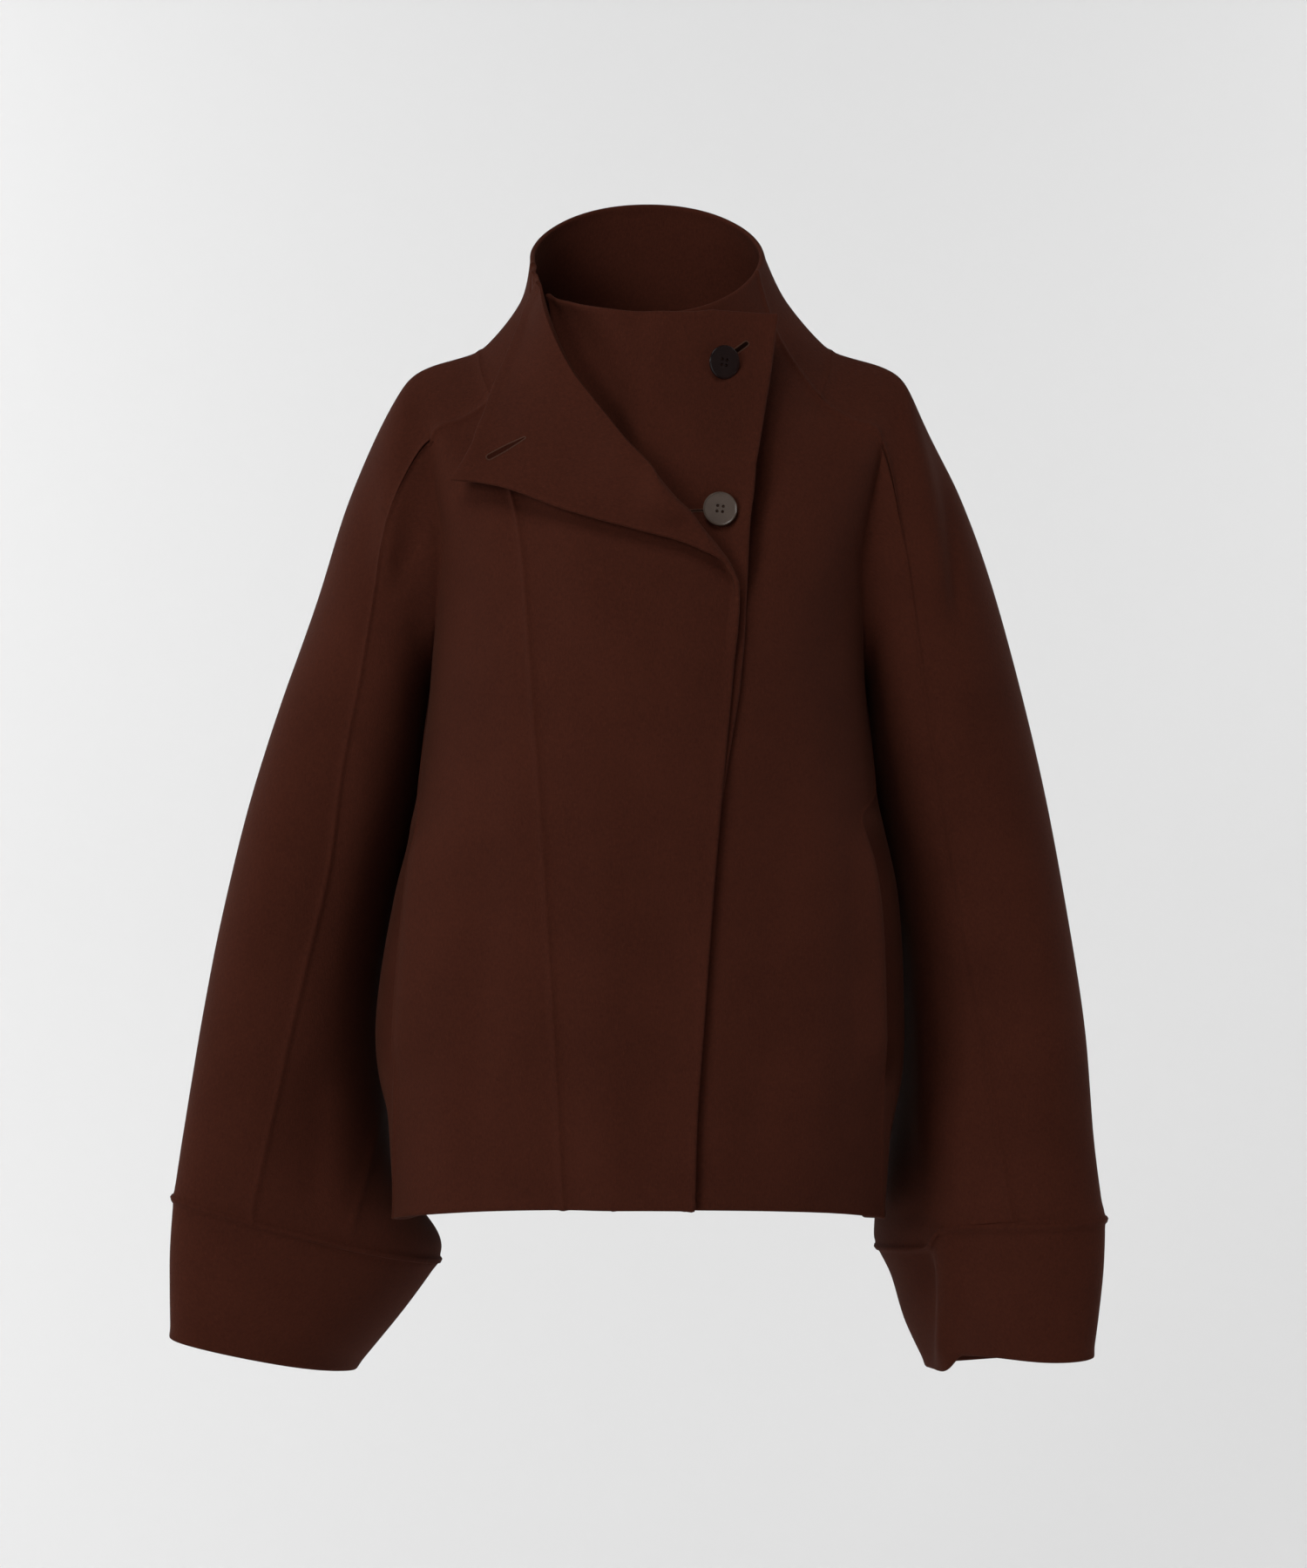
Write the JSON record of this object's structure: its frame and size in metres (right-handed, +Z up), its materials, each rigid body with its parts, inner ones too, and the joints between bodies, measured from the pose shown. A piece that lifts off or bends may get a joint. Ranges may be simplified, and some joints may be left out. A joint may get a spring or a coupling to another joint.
{
  "type": "short coat",
  "caption": "Short boxy coat of dark felted wool, in its hollow worn form, with an off-centre right-over-left front, a folded lapel, a stand collar, saddle sleeves and cuff bands.",
  "frame": {"origin": "middle of the neck at the height of the shoulders, where the wearer holds the coat up", "axes": "+Z up along the coat, -Y out of the coat's front, +X to the wearer's left"},
  "size_m": [0.7282, 0.2962, 0.9212],
  "materials": {
    "wool": "dense matt felted wool, dark brown, with a fine nap",
    "horn": "polished dark brown horn"
  },
  "bodies": {
    "root": {"back": "wool", "collar": "wool", "cuff_left": "wool", "cuff_right": "wool", "fly_right": "wool", "front_left": "wool", "front_right_centre": "wool", "front_right_side": "wool", "pocket_left": "wool", "pocket_right": "wool", "sleeve_left_outer": "wool", "sleeve_left_under": "wool", "sleeve_right_outer": "wool", "sleeve_right_under": "wool", "button_lower": "horn", "button_upper": "horn"}
  },
  "joints": []
}
